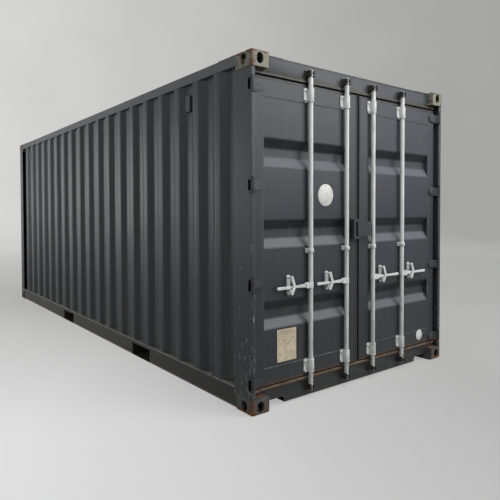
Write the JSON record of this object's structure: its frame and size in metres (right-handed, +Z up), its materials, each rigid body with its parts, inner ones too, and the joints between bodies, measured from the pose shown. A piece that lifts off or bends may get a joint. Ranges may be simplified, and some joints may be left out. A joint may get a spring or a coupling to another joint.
{
  "type": "20-foot dry freight shipping container",
  "caption": "Corrugated steel dry freight container with two hinged door leaves, turning lock bars, lifting handles and swinging catches.",
  "frame": {"origin": "centre of the footprint at ground level, under the bottom castings", "axes": "+X across the container to the right as seen from the door end, +Y along it from the door end to the front wall, +Z up"},
  "size_m": [2.438, 6.058, 2.591],
  "materials": {
    "castings": "grey paint worn to rust",
    "frame_paint": "satin anthracite paint",
    "wall_paint": "satin anthracite paint",
    "roof_paint": "weathered anthracite paint",
    "underside_coating": "matt black bitumen coating",
    "plywood": "oiled hardwood plywood",
    "door_paint": "satin anthracite paint",
    "keeper_steel": "dark painted forging",
    "seal_rubber": "matt black rubber",
    "galvanised_steel": "light grey galvanised and painted",
    "aged_plate": "tarnished plate"
  },
  "bodies": {
    "container": {"corner_castings_top": "castings", "corner_castings_bottom": "castings", "door_post_left": "frame_paint", "door_post_right": "frame_paint", "front_post_left": "frame_paint", "front_post_right": "frame_paint", "door_header": "frame_paint", "door_sill": "frame_paint", "front_top_rail": "frame_paint", "front_bottom_rail": "frame_paint", "top_side_rail_left": "frame_paint", "top_side_rail_right": "frame_paint", "bottom_side_rail_left": "frame_paint", "bottom_side_rail_right": "frame_paint", "hinge_lugs_left": "frame_paint", "hinge_lugs_right": "frame_paint", "side_wall_left": "wall_paint", "side_wall_right": "wall_paint", "front_wall": "wall_paint", "vent_covers": "wall_paint", "roof_panel": "roof_paint", "roof_corner_plates": "roof_paint", "cross_members": "underside_coating", "fork_pockets": "underside_coating", "floor_boards": "plywood", "cam_keepers": "keeper_steel"},
    "door_left": {"door_frame_left": "door_paint", "door_panel_left": "door_paint", "door_seal_left": "seal_rubber", "door_hinges_left": "door_paint", "bar_brackets_left": "galvanised_steel", "handle_retainers_left": "galvanised_steel", "lock_lug": "door_paint", "data_plate": "aged_plate"},
    "door_right": {"door_frame_right": "door_paint", "door_panel_right": "door_paint", "door_seal_right": "seal_rubber", "door_hinges_right": "door_paint", "bar_brackets_right": "galvanised_steel", "handle_retainers_right": "galvanised_steel", "lock_box": "door_paint"},
    "lock_bar_left_inner": {"lock_bar_left_inner": "galvanised_steel"},
    "handle_left_inner": {"handle_left_inner": "galvanised_steel"},
    "catch_left_inner": {"catch_left_inner": "galvanised_steel"},
    "lock_bar_left_outer": {"lock_bar_left_outer": "galvanised_steel"},
    "handle_left_outer": {"handle_left_outer": "galvanised_steel"},
    "catch_left_outer": {"catch_left_outer": "galvanised_steel"},
    "lock_bar_right_inner": {"lock_bar_right_inner": "galvanised_steel"},
    "handle_right_inner": {"handle_right_inner": "galvanised_steel"},
    "catch_right_inner": {"catch_right_inner": "galvanised_steel"},
    "lock_bar_right_outer": {"lock_bar_right_outer": "galvanised_steel"},
    "handle_right_outer": {"handle_right_outer": "galvanised_steel"},
    "catch_right_outer": {"catch_right_outer": "galvanised_steel"}
  },
  "joints": [
    {"name": "door_left_hinge", "type": "hinge", "parent": "container", "child": "door_left", "pos_m": [-1.197, -3.015, 0.17], "axis": [0, 0, 1], "range_deg": [-260, 0]},
    {"name": "door_right_hinge", "type": "hinge", "parent": "container", "child": "door_right", "pos_m": [1.197, -3.015, 0.17], "axis": [0, 0, -1], "range_deg": [-260, 0]},
    {"name": "lock_bar_left_inner_turn", "type": "hinge", "parent": "door_left", "child": "lock_bar_left_inner", "pos_m": [-0.175, -3.004, 0.062], "axis": [0, 0, 1], "range_deg": [0, 100]},
    {"name": "handle_left_inner_lift", "type": "hinge", "parent": "lock_bar_left_inner", "child": "handle_left_inner", "pos_m": [-0.217, -3.01, 0.884], "axis": [0, 1, 0], "range_deg": [0, 12]},
    {"name": "catch_left_inner_swing", "type": "hinge", "parent": "door_left", "child": "catch_left_inner", "pos_m": [-0.395, -3.022, 0.958], "axis": [0, 1, 0], "range_deg": [0, 100]},
    {"name": "lock_bar_left_outer_turn", "type": "hinge", "parent": "door_left", "child": "lock_bar_left_outer", "pos_m": [-0.6, -3.004, 0.062], "axis": [0, 0, 1], "range_deg": [0, 100]},
    {"name": "handle_left_outer_lift", "type": "hinge", "parent": "lock_bar_left_outer", "child": "handle_left_outer", "pos_m": [-0.642, -3.01, 0.884], "axis": [0, 1, 0], "range_deg": [0, 12]},
    {"name": "catch_left_outer_swing", "type": "hinge", "parent": "door_left", "child": "catch_left_outer", "pos_m": [-0.82, -3.022, 0.958], "axis": [0, 1, 0], "range_deg": [0, 100]},
    {"name": "lock_bar_right_inner_turn", "type": "hinge", "parent": "door_right", "child": "lock_bar_right_inner", "pos_m": [0.175, -3.004, 0.062], "axis": [0, 0, -1], "range_deg": [0, 100]},
    {"name": "handle_right_inner_lift", "type": "hinge", "parent": "lock_bar_right_inner", "child": "handle_right_inner", "pos_m": [0.217, -3.01, 0.884], "axis": [0, -1, 0], "range_deg": [0, 12]},
    {"name": "catch_right_inner_swing", "type": "hinge", "parent": "door_right", "child": "catch_right_inner", "pos_m": [0.305, -3.022, 0.958], "axis": [0, -1, 0], "range_deg": [0, 100]},
    {"name": "lock_bar_right_outer_turn", "type": "hinge", "parent": "door_right", "child": "lock_bar_right_outer", "pos_m": [0.6, -3.004, 0.062], "axis": [0, 0, -1], "range_deg": [0, 100]},
    {"name": "handle_right_outer_lift", "type": "hinge", "parent": "lock_bar_right_outer", "child": "handle_right_outer", "pos_m": [0.642, -3.01, 0.884], "axis": [0, -1, 0], "range_deg": [0, 12]},
    {"name": "catch_right_outer_swing", "type": "hinge", "parent": "door_right", "child": "catch_right_outer", "pos_m": [0.73, -3.022, 0.958], "axis": [0, -1, 0], "range_deg": [0, 100]}
  ]
}
